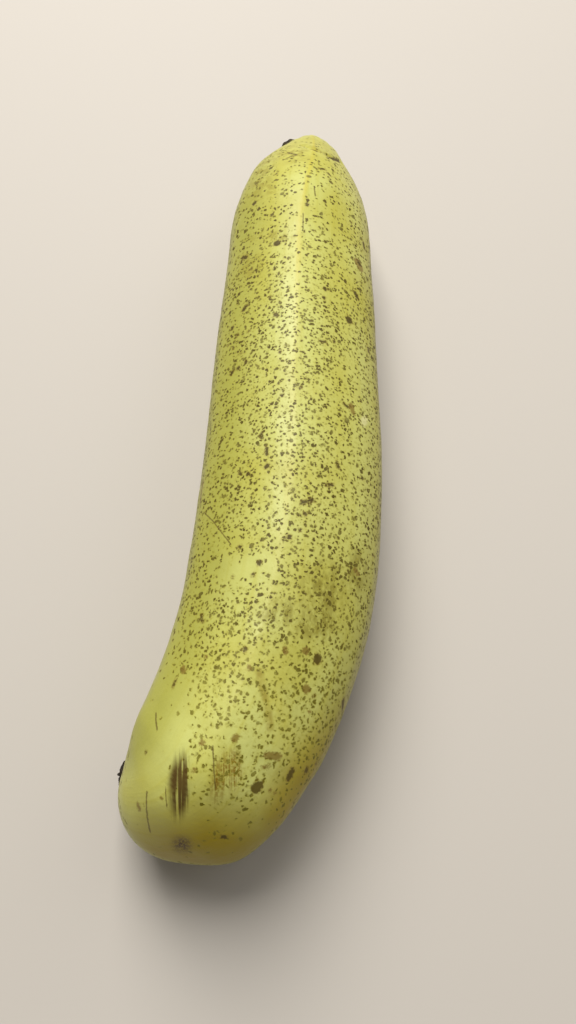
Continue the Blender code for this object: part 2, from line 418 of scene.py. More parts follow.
# fine relief on top of the solid's form
relief = {
    "crestHeight": 0.13,      # the narrow crest on the top rib
    "crestSpread": 3.8,
    "crestWander": 1.2,
    "wanderSize": 30.0,
    "sideCrest": 0.14,
    "sideSpread": 5.0,
    "bodyFromTip": (14, 34),  # the body fades in between these distances from its two ends
    "bodyFromCut": (3, 10),
    "pleatHeight": 0.13,      # pleats that gather the neck into the stem
    "pleats": 17,
    "pleatWander": 4.0,
    "pleatSize": 26.0,
    "gathered": (98, 116),
    "grooveDepth": 0.42,
    "grooveWidth": 0.55,
    "dentHeight": 0.16,
    "dentSize": 34.0,
    "rippleHeight": 0.05,
    "rippleSize": 6.0,
    "stemFold": 0.22,         # folds across the inside of the bend at the neck
    "foldRate": 1.9,
    "foldWander": 1.5,
    "foldSize": 9.0,
    "foldMiddle": 60,
    "foldSides": (0.2, 0.9),
    "foldStart": (3, 6),
    "foldStop": (12, 20),
    "worn": {"scratched": 0.12, "scuffed": 0.06, "starred": 0.10},
    "rimRagged": 0.28,
    "tipRim": (0.5, 3.5),
    "cutRim": (0.2, 3.0),
    "tipRagged": 2.6,
    "cutRagged": 3.2,
    "seed": 11,
}


def bandAt(turn, middle, spread):
    return np.exp(-(((turn - middle) / spread) ** 2))


def softNoise(points, size, seed):
    # sum of a few turned waves: smooth, and the same each run
    draw = random.Random(seed)
    total = np.zeros(points.shape[:-1])
    for _ in range(9):
        heading = np.array([draw.gauss(0, 1) for _ in range(3)])
        heading /= np.linalg.norm(heading)
        length = size * draw.uniform(0.7, 1.6)
        total += np.sin(points @ heading * (2 * math.pi / length) + draw.uniform(0, 2 * math.pi))
    return total / 4.5


def fineRelief():
    look = relief
    y = values[:, 1][:, None]
    turnFromRib = (angles[None, :] - twist[:, None] + 180) % 360 - 180
    fromTip, fromCut = distances[:, None], distances[-1] - distances[:, None]
    body = smooth(fromTip, *look["bodyFromTip"]) * smooth(fromCut, *look["bodyFromCut"])

    def noise(size, salt):
        return softNoise(grid, size, look["seed"] + salt)

    wavy = look["crestWander"] * noise(look["wanderSize"], 5)
    height = look["crestHeight"] * bandAt(turnFromRib + wavy, 0, look["crestSpread"]) * body
    for ribAngle, strength in fruit["ribs"][1:]:
        away = (turnFromRib + wavy - ribAngle + 180) % 360 - 180
        height = height + look["sideCrest"] * strength * bandAt(away, 0, look["sideSpread"]) * body
    wander = look["pleatWander"] * noise(look["pleatSize"], 1)
    pleats = np.sin(np.radians(turnFromRib * look["pleats"]) + wander)
    height = height + look["pleatHeight"] * smooth(y, *look["gathered"]) * pleats
    folds = np.sin(fromCut * look["foldRate"] + noise(look["foldSize"], 6) * look["foldWander"])
    inside = smooth(-np.cos(np.radians(turnFromRib + look["foldMiddle"])), *look["foldSides"])
    folded = inside * smooth(fromCut, *look["foldStart"]) * (1 - smooth(fromCut, *look["foldStop"]))
    height = height + look["stemFold"] * folds * folded
    height = height + look["dentHeight"] * noise(look["dentSize"], 0) * body
    height = height + look["rippleHeight"] * noise(look["rippleSize"], 2) * body
    height = height - look["grooveDepth"] * bandAt(np.maximum(grooveField, 0), 0, look["grooveWidth"])
    for name, depth in look["worn"].items():
        height = height - depth * cover[name]
    tipRim, cutRim = 1 - smooth(fromTip, *look["tipRim"]), 1 - smooth(fromCut, *look["cutRim"])
    height = height + look["rimRagged"] * tipRim * noise(look["tipRagged"], 3)
    height = height + look["rimRagged"] * cutRim * noise(look["cutRagged"], 4)
    return height


normals = gridNormals(grid)
grid = grid + normals * fineRelief()[:, :, None]


# The dry tip and the cut face are closed by rows of points that shrink to the middle.
hollows = {
    "shares": (0.95, 0.88, 0.8, 0.7, 0.6, 0.5, 0.4, 0.3, 0.2, 0.1),
    "tipDepths": (0.05, 0.3, 0.6, 0.85, 0.95, 0.95, 0.8, 0.5, 0.2, 0.0),
    "cutDepths": (-0.05, 0.1, 0.3, 0.5, 0.6, 0.62, 0.6, 0.55, 0.5, 0.45),
    "rough": 0.28,
    "roughSize": 2.2,
    "roughRise": 4,           # how soon the roughness grows inside the rim
    "tipSeed": 21,
    "cutSeed": 22,
}


def hollowRows(rim, inward, depths, seed):
    centre = rim.mean(axis=0)
    rows = []
    for share, depth in zip(hollows["shares"], depths):
        row = centre + (rim - centre) * share + inward * depth
        rough = hollows["rough"] * softNoise(row, hollows["roughSize"], seed)
        rough = rough * min(1.0, (1 - share) * hollows["roughRise"])
        rows.append(row + inward * rough[:, None])
    return np.array(rows), centre + inward * depths[-1]


tipRows, tipMiddle = hollowRows(grid[0], -tipAhead[0], hollows["tipDepths"], hollows["tipSeed"])
cutRows, cutMiddle = hollowRows(grid[-1], cutAhead[0], hollows["cutDepths"], hollows["cutSeed"])


# one mesh for the whole skin, with what its material reads

def attributeOf(mesh, name, data):
    attribute = mesh.attributes.new(name, "FLOAT", "POINT")
    attribute.data.foreach_set("value", np.asarray(data, np.float32).ravel())


def skinMesh():
    rows = np.concatenate([tipRows[::-1], grid, cutRows])
    count, sides = rows.shape[:2]
    points = toPart(np.concatenate([rows.reshape(-1, 3), [tipMiddle], [cutMiddle]])) * mm
    faces = []
    for row in range(count - 1):
        for side in range(sides):
            after = (side + 1) % sides
            a, b = row * sides + side, row * sides + after
            faces.append((a, b, b + sides, a + sides))
    tip, cut = count * sides, count * sides + 1
    last = (count - 1) * sides
    for side in range(sides):
        after = (side + 1) % sides
        faces.append((after, side, tip))
        faces.append((last + side, last + after, cut))
    mesh = bpy.data.meshes.new("bananaSkin")
    mesh.from_pydata(points.tolist(), [], faces)
    mesh.update()
    corners = [[Vector(points[corner]) for corner in face[:3]] for face in faces[::37]]
    volume = sum(a.cross(b).dot(c) for a, b, c in corners)
    if volume < 0:
        mesh.flip_normals()
    mesh.shade_smooth()
    return mesh


def padded(data, ends):
    # a skin value carried over the rows of both hollow ends and to their middle points
    before = np.full((len(tipRows), data.shape[1]), ends[0])
    after = np.full((len(cutRows), data.shape[1]), ends[1])
    flat = np.concatenate([before, data, after]).ravel()
    return np.concatenate([flat, [flat[0], flat[-1]]])


print("building the skin")
skinData = skinMesh()
shape = grid.shape[:2]
yGrid = np.broadcast_to(values[:, 1][:, None], shape)
fromTip = np.broadcast_to(distances[:, None], shape)
fromCut = distances[-1] - fromTip
turnFromTop = np.broadcast_to((angles[None, :] + 180) % 360 - 180, shape)
turnFromRib = (angles[None, :] - twist[:, None] + 180) % 360 - 180

# Where tones and freckles start and stop: y and distances from the ends in millimetres, turns in degrees.
spread = {
    "dryTip": (0.7, 4.0, 31, 2.8, 4.0),      # how far its edge wavers, size, seed, start and stop
    "dryCut": (0.7, 5.0, 32, 1.2, 2.6),
    "tanned": (0.9, 6.0, 33, 3.0, 11.0),
    "patchy": (0.30, 15.0, 34),
    "hidden": (95, 150),
    "hiddenThinner": 0.65,
    "bareTurn": (40, 60),
    "bareY": (-38, -26),
    "fine": {"base": 0.42, "more": 0.58, "start": (-58, -36), "stop": (36, 76)},
    "fineNeck": (88, 104),
    "fineThinner": {"neck": 0.75, "bare": 0.93, "sparse": 0.6},
    "large": {"base": 0.42, "more": 0.45, "start": (28, 60)},
    "largeNeck": (96, 108),
    "largeThinner": {"neck": 0.5, "bare": 0.85},
    "sparse": (300, 26.0, 178, 34.0),        # pixel x and y of a sparse place, each with its reach
    "crestThinner": 0.55,
    "crestGap": 4.5,
    "crestWidth": 1.9,
    "crestStart": (20, 45),
    "upperHalf": (20, 60),
    "crestFade": {"base": 0.35, "more": 0.65, "start": (10, 60)},
    "leftFacet": (-27, 11.0),
    "rightFacet": (30, 14.0),
    "rightFacetShare": 0.8,
    "rightFacetStart": (-60, 10),
    "facetMost": 1.3,
    # painted shade: the left and the right flank are made a darker yellow, where the sides turn away from the
    # light
    "flankTurn": (14, 46),
    "flankFromCut": (1, 9),
    "rightShadeTurn": (36, 78),
    "rightShadeShare": 0.85,
    "neckStart": (86, 110),
}


def nearEnd(away, waver, size, seed, start, stop):
    # full at one end of the fruit and gone past a wavering line
    return 1 - smooth(away + waver * softNoise(grid, size, seed), start, stop)


dry = np.maximum(nearEnd(fromTip, *spread["dryTip"]), nearEnd(fromCut, *spread["dryCut"]))
tanned = nearEnd(fromCut, *spread["tanned"]) * (1 - dry)
patchiness, patchSize, patchSeed = spread["patchy"]
patchy = 1.0 + patchiness * softNoise(grid, patchSize, patchSeed)
hidden = 1 - spread["hiddenThinner"] * smooth(np.abs(turnFromTop), *spread["hidden"])
bareSide = smooth(-turnFromTop, *spread["bareTurn"]) * (1 - smooth(yGrid, *spread["bareY"]))
bare = np.maximum(cover["bare"], bareSide)
upperHalf = smooth(yGrid, *spread["upperHalf"])
sparseX, reachX, sparseY, reachY = spread["sparse"]
sparse = bandAt(pixels[0], sparseX, reachX) * bandAt(pixels[1], sparseY, reachY) * (facing > 0)
anywhere = patchy * hidden * (1 - dry)
anywhere = anywhere * (1 - spread["crestThinner"] * bandAt(turnFromRib, 0, spread["crestGap"]) * upperHalf)

fine, thinner = spread["fine"], spread["fineThinner"]
finePart = fine["base"] + fine["more"] * smooth(yGrid, *fine["start"]) * (1 - smooth(yGrid, *fine["stop"]))
finePart = finePart * (1 - thinner["neck"] * smooth(yGrid, *spread["fineNeck"]))
fineFreckles = finePart * anywhere * (1 - thinner["bare"] * bare) * (1 - thinner["sparse"] * sparse)
large, thinner = spread["large"], spread["largeThinner"]
largePart = large["base"] + large["more"] * smooth(yGrid, *large["start"])
largePart = largePart * (1 - thinner["neck"] * smooth(yGrid, *spread["largeNeck"]))
largeFreckles = largePart * anywhere * (1 - thinner["bare"] * bare)

fade = spread["crestFade"]
crest = bandAt(turnFromRib, 0, spread["crestWidth"]) * smooth(fromTip, *spread["crestStart"])
crest = crest * (fade["base"] + fade["more"] * smooth(yGrid, *fade["start"]))
rightFacet = bandAt(turnFromRib, *spread["rightFacet"]) * smooth(yGrid, *spread["rightFacetStart"])
facet = bandAt(turnFromRib, *spread["leftFacet"]) * upperHalf + spread["rightFacetShare"] * rightFacet
facet = np.clip(facet, 0.0, spread["facetMost"])
# painted shade on the left and the right flank, darker where the sides turn from the lit top; the left one
# fades out at the cut end
flank = smooth(-turnFromTop, *spread["flankTurn"]) * smooth(fromCut, *spread["flankFromCut"])
paintedRightShade = spread["rightShadeShare"] * smooth(turnFromTop, *spread["rightShadeTurn"])
neckGreen = smooth(yGrid, *spread["neckStart"]) * (1 - dry)

none, far, aside = (0.0, 0.0), (farFromMark, farFromMark), (farAside, farAside)
carried = [  # name, value on the skin, value on both hollow ends
    ("darkField", darkField, far), ("brownField", brownField, far), ("creaseField", creaseField, far),
    ("strokeSide", strokeSide, aside), ("strokeField", strokeField, far),
    ("fineFreckles", fineFreckles, none), ("largeFreckles", largeFreckles, none), ("crest", crest, none),
    ("facet", facet, none), ("flank", flank, none), ("paintedRightShade", paintedRightShade, none),
    ("neckGreen", neckGreen, none), ("tanned", tanned, none), ("dry", dry, (1.0, 1.0)),
]
carried += [(name, cover[name], none) for name in cover if name != "bare"]
for name, data, ends in carried:
    attributeOf(skinData, name, padded(np.array(data, float), ends))

# the pixel that each point is seen at, and a place on the fruit unrolled to an even thickness
seen = np.stack([pixels[0], pixels[1], np.zeros(shape)], axis=2)
evenRadius = 19
flow = np.stack([
    np.broadcast_to(np.sin(np.radians(angles))[None, :] * evenRadius, shape),
    np.broadcast_to(np.cos(np.radians(angles))[None, :] * evenRadius, shape),
    fromTip,
], axis=2)
for name, vectors in (("flow", flow), ("seen", seen)):
    rows = np.concatenate([
        np.repeat(vectors[:1], len(tipRows), axis=0), vectors, np.repeat(vectors[-1:], len(cutRows), axis=0)])
    rows = rows.reshape(-1, 3)
    rows = np.concatenate([rows, rows[:1], rows[-1:]])
    attribute = skinData.attributes.new(name, "FLOAT_VECTOR", "POINT")
    attribute.data.foreach_set("vector", rows.astype(np.float32).ravel())


# node helpers

def newMaterial(name):
    material = bpy.data.materials.new(name)
    material.use_nodes = True
    tree = material.node_tree
    return material, tree, tree.nodes["Principled BSDF"]


def put(tree, kind, inputs=None, **settings):
    node = tree.nodes.new(kind)
    for key, value in settings.items():
        setattr(node, key, value)
    for key, value in (inputs or {}).items():
        if isinstance(value, bpy.types.NodeSocket):
            tree.links.new(value, node.inputs[key])
        else:
            node.inputs[key].default_value = value
    return node


def math1(tree, operation, a, b=0.0, clamp=False):
    return put(tree, "ShaderNodeMath", {0: a, 1: b}, operation=operation, use_clamp=clamp).outputs[0]


def times(tree, a, b):
    return math1(tree, "MULTIPLY", a, b)


def ramp(tree, value, start, stop, low=0.0, high=1.0):
    node = put(
        tree, "ShaderNodeMapRange",
        {"Value": value, "From Min": start, "From Max": stop, "To Min": low, "To Max": high},
        interpolation_type="SMOOTHSTEP")
    return node.outputs["Result"]


def mixed(tree, share, first, second):
    node = put(tree, "ShaderNodeMix", data_type="RGBA")
    for socket, value in ((node.inputs[0], share), (node.inputs[6], first), (node.inputs[7], second)):
        if isinstance(value, bpy.types.NodeSocket):
            tree.links.new(value, socket)
        else:
            socket.default_value = value
    return node.outputs[2]


def attributeNode(tree, name):
    return put(tree, "ShaderNodeAttribute", attribute_name=name)


def noiseOf(tree, vector, scale, detail=2.0, rough=0.5):
    settings = {"Vector": vector, "Scale": scale, "Detail": detail, "Roughness": rough}
    return put(tree, "ShaderNodeTexNoise", settings)


def positionOf(tree):
    # the place on the object in millimetres
    where = put(tree, "ShaderNodeTexCoord").outputs["Object"]
    return put(tree, "ShaderNodeVectorMath", {0: where, "Scale": 1 / mm}, operation="SCALE").outputs[0]


# the skin's material
skinLook = {
    "yellow": (0.552, 0.552, 0.158, 1),
    "deepYellow": (0.450, 0.405, 0.045, 1),
    # the two painted shade colours, for the left and the right flank turned away from the light
    "flankYellow": (0.365, 0.350, 0.056, 1),
    "rightShadeYellow": (0.345, 0.300, 0.036, 1),
    "crestYellow": (0.520, 0.435, 0.030, 1),
    "neckYellow": (0.430, 0.400, 0.050, 1),
    # the olive-brown of the painted shade on the lower end
    "paintedEndShade": (0.345, 0.245, 0.000, 1),
    "bruise": (0.210, 0.170, 0.018, 1),
    "freckle": (0.080, 0.056, 0.000, 1),
    "lowFreckle": (0.150, 0.125, 0.004, 1),
    "freckleHalo": (0.330, 0.285, 0.020, 1),
    "spot": (0.062, 0.040, 0.001, 1),
    "lowSpot": (0.095, 0.064, 0.003, 1),
    "brown": (0.190, 0.115, 0.012, 1),
    "scratch": (0.072, 0.032, 0.001, 1),
    "scuff": (0.205, 0.120, 0.004, 1),
    "smudge": (0.270, 0.215, 0.020, 1),
    "pale": (0.640, 0.600, 0.260, 1),
    "dryStem": (0.022, 0.016, 0.011, 1),
    "dryBrown": (0.060, 0.040, 0.018, 1),
    "ior": 1.38,
}
skinNoises = {  # scale, detail, roughness, and how the place is squeezed first
    "clouds": (0.05, 3.0, 0.55, None),
    "soft": (0.16, 2.0, 0.5, None),
    "mottled": (0.5, 4.0, 0.6, None),
    "streaks": (1.0, 4.0, 0.6, (0.55, 0.55, 0.035)),
    "blots": (1.0, 4.0, 0.65, (0.6, 0.3, 0.5)),
    "brush": (1.0, 3.0, 0.6, (0.45, 0.022, 1.0)),
    "weave": (1.9, 2.0, 0.5, None),
    "faded": (0.45, 2.0, 0.5, None),
    "ragged": (2.1, 3.0, 0.6, None),
    "star": (0.42, 2.0, 0.7, None),
    "strands": (1.0, 2.0, 0.6, (0.34, 0.012, 1.0)),
    "grain": (0.9, 3.0, 0.55, None),
    "dryGrain": (1.0, 4.0, 0.6, (2.2, 2.2, 0.5)),
}
skinSteps = {  # from which value to which, and what it gives at each, 0 and 1 where none are given
    "clouds": (0.38, 0.72, 0.0, 0.7),
    "streaks": (0.48, 0.75, 0.0, 0.4),
    "crest": (0.35, 0.65, 0.25, 0.6),
    # the painted shade on the lower end, mottled a little
    "paintedEndShade": (0.3, 0.7, 0.85, 1.0),
    "bruise": (0.38, 0.62, 0.1, 0.8),
    "smudge": (0.4, 0.62, 0.05, 0.75),
    "crease": (0.35, 0.65, 0.15, 0.45),
    "creaseLine": (0.6, -0.3),
    "creaseBroken": (0.3, 0.6, 0.20, 0.55),
    "tan": (0.35, 0.65, 0.25, 0.7),
    "brush": (0.38, 0.56, 0.30, 1.0),
    "weave": (0.36, 0.56, 0.45, 1.0),
    "faded": (0.3, 0.65, 0.62, 1.0),
    "lowDown": (570.0, 720.0),  # pixels down the view, where the tones of marks change
    "brown": (0.28, -0.2),
    "halo": (0.45, 0.0, 0.0, 0.35),
    "spots": (0.17, -0.19, 0.0, 0.92),
    "lines": (1.7, 0.4, 0.0, 0.68),
    "lineEnds": (0.55, 0.2),
    "star": (0.40, 0.56, 0.35, 1.0),
    "wedge": (0.36, 0.5, 0.72, 0.97),
    "strands": (0.45, 0.55, 0.18, 0.95),
    "dryTone": (0.4, 0.7),
    "sheen": (0.2, 0.8, 0.35, 0.45),
}
skinAmounts = {
    "facet": 0.55,
    # shares of the painted shade on the left and the right flank
    "flank": 0.9,
    "paintedRightShade": 0.9,
    "neckGreen": 0.75,
    "creaseWander": 1.2,
    "middling": 0.9,
    "large": 0.75,
    "freckleHalo": 0.4,
    "markWander": 1.1,
    "brown": 0.8,
    "lineWander": 2.4,
    "wornDull": 0.15,
    "dryDull": 0.45,
    "grainHeight": 0.06,
    "wornDepth": 0.03,
    "streakHeight": 0.06,
    "dryHeight": 0.6,
}
freckleLook = {  # spacing, least and greatest radius as shares of it, wander in millimetres
    "fine": (0.82, 0.23, 0.50, 0.6),
    "middling": (1.45, 0.16, 0.33, 0.9),
    "large": (3.6, 0.10, 0.19, 0.9),
}
freckleEdge = {"pushScale": 0.9, "appear": (0.0, 0.05), "dot": (-0.06, 0.10), "halo": (-0.30, 0.05)}


def freckleLayer(tree, position, name, presence):
    # irregular dots, one to a cell wherever the cell's draw is under the presence
    cell, least, greatest, wander = freckleLook[name]
    push = noiseOf(tree, position, freckleEdge["pushScale"] / cell).outputs["Color"]
    moved = put(tree, "ShaderNodeVectorMath", {0: push, 1: (0.5, 0.5, 0.5)}, operation="SUBTRACT").outputs[0]
    moved = put(tree, "ShaderNodeVectorMath", {0: moved, "Scale": wander * 2.0}, operation="SCALE").outputs[0]
    moved = put(tree, "ShaderNodeVectorMath", {0: position, 1: moved}, operation="ADD").outputs[0]
    cells = put(
        tree, "ShaderNodeTexVoronoi", {"Vector": moved, "Scale": 1.0 / cell, "Randomness": 1.0},
        voronoi_dimensions="3D", feature="F1")
    draw = put(tree, "ShaderNodeSeparateColor", {0: cells.outputs["Color"]})
    there = ramp(tree, math1(tree, "SUBTRACT", presence, draw.outputs[0]), *freckleEdge["appear"])
    widths = put(
        tree, "ShaderNodeMapRange",
        {"Value": draw.outputs[1], "From Min": 0.0, "From Max": 1.0, "To Min": least, "To Max": greatest})
    edge = math1(tree, "SUBTRACT", widths.outputs[0], cells.outputs["Distance"])
    dot, halo = (ramp(tree, edge, *[at / cell for at in freckleEdge[kind]]) for kind in ("dot", "halo"))
    return times(tree, dot, there), times(tree, halo, there)


def skinMaterial():
    material, tree, shader = newMaterial("bananaSkin")
    look, amount = skinLook, skinAmounts
    position = positionOf(tree)
    straight = put(
        tree, "ShaderNodeVectorRotate", {"Vector": position, "Angle": -math.radians(fruit["chordTurn"])},
        rotation_type="Z_AXIS").outputs[0]
    flow = attributeNode(tree, "flow").outputs["Vector"]
    seenAt = attributeNode(tree, "seen").outputs["Vector"]
    get = {name: attributeNode(tree, name).outputs["Fac"] for name, _, _ in carried}

    def noise(name, vector=position):
        scale, detail, rough, squeeze = skinNoises[name]
        if squeeze:
            vector = put(tree, "ShaderNodeMapping", {"Vector": vector, "Scale": squeeze}).outputs[0]
        return noiseOf(tree, vector, scale, detail, rough).outputs["Fac"]

    def step(name, value):
        return ramp(tree, value, *skinSteps[name])

    def plus(a, b):
        return math1(tree, "ADD", a, b)

    def most(a, b):
        return math1(tree, "MAXIMUM", a, b)

    def wander(value, name):
        return times(tree, math1(tree, "SUBTRACT", value, 0.5), amount[name])

    # what the tones are mixed by
    clouds, soft, mottled = noise("clouds"), noise("soft"), noise("mottled")
    streaks = noise("streaks", flow)
    crestShare = times(tree, get["crest"], step("crest", streaks))
    # painted shade on the lower end, darker olive-brown towards the bottom
    paintedEndShadeShare = times(tree, get["paintedEndShade"], step("paintedEndShade", soft))
    bruiseShare = times(tree, get["bruised"], step("bruise", noise("blots", straight)))
    smudgeShare = times(tree, get["smudged"], step("smudge", mottled))
    creaseShare = times(tree, get["crease"], step("crease", soft))
    creaseLine = step("creaseLine", plus(get["creaseField"], wander(soft, "creaseWander")))
    creaseLine = times(tree, creaseLine, step("creaseBroken", mottled))
    tanShare = times(tree, get["tanned"], step("tan", mottled))
    brushed = times(tree, step("brush", noise("brush", seenAt)), step("weave", noise("weave")))
    scuffShare = times(tree, get["scuffed"], brushed)

    # freckles in three sizes
    fewer = [times(tree, get["largeFreckles"], amount[name]) for name in ("middling", "large")]
    fine, fineHalo = freckleLayer(tree, position, "fine", get["fineFreckles"])
    middling, middlingHalo = freckleLayer(tree, position, "middling", fewer[0])
    freckles = most(most(fine, middling), freckleLayer(tree, position, "large", fewer[1])[0])
    haloShare = times(tree, most(fineHalo, middlingHalo), amount["freckleHalo"])
    freckleShare = times(tree, freckles, step("faded", noise("faded")))
    lowDown = step("lowDown", put(tree, "ShaderNodeSeparateXYZ", {0: seenAt}).outputs["Y"])

    # single marks: the fields hold the distance to each mark's edge
    ragged = noise("ragged")
    fromBrown = plus(get["brownField"], wander(ragged, "markWander"))
    fromDark = plus(get["darkField"], wander(ragged, "markWander"))
    brownShare = times(tree, step("brown", fromBrown), amount["brown"])
    spots = step("spots", fromDark)
    fromLine = plus(math1(tree, "ABSOLUTE", get["strokeSide"]), wander(ragged, "lineWander"))
    lines = times(tree, step("lines", fromLine), step("lineEnds", get["strokeField"]))
    starShare = times(tree, get["starred"], step("star", noise("star", seenAt)))
    strands = noise("strands", seenAt)
    wedgeShare = times(tree, get["wedge"], step("wedge", strands))
    strandShare = most(times(tree, get["scratched"], step("strands", strands)), wedgeShare)

    # every tone goes over the ones before it
    colour = look["yellow"]
    for share, tone in [
        (step("clouds", clouds), look["deepYellow"]),
        (step("streaks", streaks), look["deepYellow"]),
        (times(tree, get["facet"], amount["facet"]), look["deepYellow"]),
        # painted shade on the left and the right flank
        (times(tree, get["flank"], amount["flank"]), look["flankYellow"]),
        (times(tree, get["paintedRightShade"], amount["paintedRightShade"]), look["rightShadeYellow"]),
        (times(tree, get["neckGreen"], amount["neckGreen"]), look["neckYellow"]),
        (crestShare, look["crestYellow"]),
        # painted shade on the lower end
        (paintedEndShadeShare, look["paintedEndShade"]),
        (bruiseShare, look["bruise"]),
        (smudgeShare, look["smudge"]),
        (creaseShare, look["crestYellow"]),
        (creaseLine, look["scuff"]),
        (tanShare, look["smudge"]),
        (scuffShare, look["scuff"]),
        (get["pale"], look["pale"]),
        (haloShare, look["freckleHalo"]),
        (freckleShare, mixed(tree, lowDown, look["freckle"], look["lowFreckle"])),
        (brownShare, look["brown"]),
        (step("halo", fromDark), look["scuff"]),
        (spots, mixed(tree, lowDown, look["spot"], look["lowSpot"])),
        (lines, look["scratch"]),
        (starShare, look["scratch"]),
        (strandShare, look["scratch"]),
        (get["dry"], mixed(tree, step("dryTone", mottled), look["dryStem"], look["dryBrown"])),
    ]:
        colour = mixed(tree, share, colour, tone)
    tree.links.new(colour, shader.inputs["Base Color"])

    # sheen and relief
    worn = most(most(freckles, spots), strandShare)
    rough = plus(step("sheen", clouds), times(tree, worn, amount["wornDull"]))
    rough = math1(tree, "ADD", rough, times(tree, get["dry"], amount["dryDull"]), clamp=True)
    tree.links.new(rough, shader.inputs["Roughness"])
    height = times(tree, noise("grain"), amount["grainHeight"])
    height = math1(tree, "SUBTRACT", height, times(tree, worn, amount["wornDepth"]))
    height = plus(height, times(tree, streaks, amount["streakHeight"]))
    dryGrain = times(tree, noise("dryGrain", flow), get["dry"])
    height = plus(height, times(tree, dryGrain, amount["dryHeight"]))
    bump = put(tree, "ShaderNodeBump", {"Strength": 1.0, "Distance": mm, "Height": height})
    tree.links.new(bump.outputs[0], shader.inputs["Normal"])
    shader.inputs["IOR"].default_value = look["ior"]
    return material


print("making the materials")
skinPaint = skinMaterial()


# Dried bits stand round the rim of the tip, and fibre ends stand on the cut face of the stem.
endBits = {
    "tipFlakes": {
        "Count": 40, "Inner Radius": 2.2, "Outer Radius": 3.2, "Length": 0.7, "Width": 1.5,
        "Lean": 6.0, "Seed": 3, "sunk": 0.4,
    },
    "stemFibres": {
        "Count": 120, "Inner Radius": 0.3, "Outer Radius": 5.0, "Length": 0.75, "Width": 0.55,
        "Lean": 10.0, "Seed": 7, "sunk": 0.75,
    },
}
endDraws = {  # shift of the seed, least and greatest
    "around": (0.0, -0.3, 0.3),
    "lean": (1.0, 0.2, 1.3),
    "X": (2.0, 0.5, 1.0),
    "Y": (3.0, 0.6, 1.2),
    "Z": (4.0, 0.5, 1.0),
}
endCone = {"corners": 6, "top": 0.3, "bottom": 0.5}
fibreLook = {"grain": (1.1, 3.0, 0.6), "tone": (0.35, 0.7), "roughness": 0.85}


def endBitsTree():
    tree = bpy.data.node_groups.new("endBits", "GeometryNodeTree")
    tree.interface.new_socket("Geometry", in_out="OUTPUT", socket_type="NodeSocketGeometry")
    kinds = [("Count", "Int"), ("Inner Radius", "Float"), ("Outer Radius", "Float"), ("Length", "Float"),
             ("Width", "Float"), ("Lean", "Float"), ("Seed", "Int"), ("Place", "Vector"), ("Turn", "Vector"),
             ("Material", "Material")]
    for name, kind in kinds:
        tree.interface.new_socket(name, in_out="INPUT", socket_type="NodeSocket" + kind)
    given = put(tree, "NodeGroupInput").outputs
    index = put(tree, "GeometryNodeInputIndex").outputs[0]

    def draw(name):
        salt, low, high = endDraws[name]
        seed = math1(tree, "ADD", given["Seed"], salt)
        node = put(tree, "FunctionNodeRandomValue", data_type="FLOAT")
        node.inputs[2].default_value, node.inputs[3].default_value = low, high
        tree.links.new(seed, node.inputs["Seed"])
        return node.outputs[1]

    goldenTurn = 2.39996
    around = math1(tree, "ADD", times(tree, index, goldenTurn), draw("around"))
    share = math1(tree, "SQRT", math1(tree, "DIVIDE", math1(tree, "ADD", index, 0.5), given["Count"]))
    reach = math1(tree, "SUBTRACT", given["Outer Radius"], given["Inner Radius"])
    radius = math1(tree, "ADD", given["Inner Radius"], times(tree, reach, share))
    spot = put(tree, "ShaderNodeCombineXYZ", {
        "X": times(tree, math1(tree, "COSINE", around), radius),
        "Y": times(tree, math1(tree, "SINE", around), radius)})
    points = put(tree, "GeometryNodePoints", {"Count": given["Count"], "Position": spot.outputs[0]})
    cone = put(tree, "GeometryNodeMeshCone", {
        "Vertices": endCone["corners"], "Radius Top": times(tree, given["Width"], endCone["top"]),
        "Radius Bottom": times(tree, given["Width"], endCone["bottom"]), "Depth": given["Length"]})
    lean = times(tree, given["Lean"], draw("lean"))
    euler = put(tree, "ShaderNodeCombineXYZ", {"Y": lean, "Z": around})
    turned = put(tree, "FunctionNodeEulerToRotation", {0: euler.outputs[0]})
    size = put(tree, "ShaderNodeCombineXYZ", {axis: draw(axis) for axis in "XYZ"})
    bits = put(tree, "GeometryNodeInstanceOnPoints", {
        "Points": points.outputs[0], "Instance": cone.outputs["Mesh"], "Rotation": turned.outputs[0],
        "Scale": size.outputs[0]})
    real = put(tree, "GeometryNodeRealizeInstances", {"Geometry": bits.outputs[0]})
    facing = put(tree, "FunctionNodeEulerToRotation", {0: given["Turn"]})
    moved = put(tree, "GeometryNodeTransform", {
        "Geometry": real.outputs[0], "Translation": given["Place"], "Rotation": facing.outputs[0]})
    painted = put(tree, "GeometryNodeSetMaterial", {
        "Geometry": moved.outputs[0], "Material": given["Material"]})
    put(tree, "NodeGroupOutput", {"Geometry": painted.outputs[0]})
    return tree


def fibreMaterial():
    material, tree, shader = newMaterial("driedFibre")
    grain = noiseOf(tree, positionOf(tree), *fibreLook["grain"]).outputs["Fac"]
    tone = ramp(tree, grain, *fibreLook["tone"])
    colour = mixed(tree, tone, skinLook["dryStem"], skinLook["dryBrown"])
    tree.links.new(colour, shader.inputs["Base Color"])
    shader.inputs["Roughness"].default_value = fibreLook["roughness"]
    return material


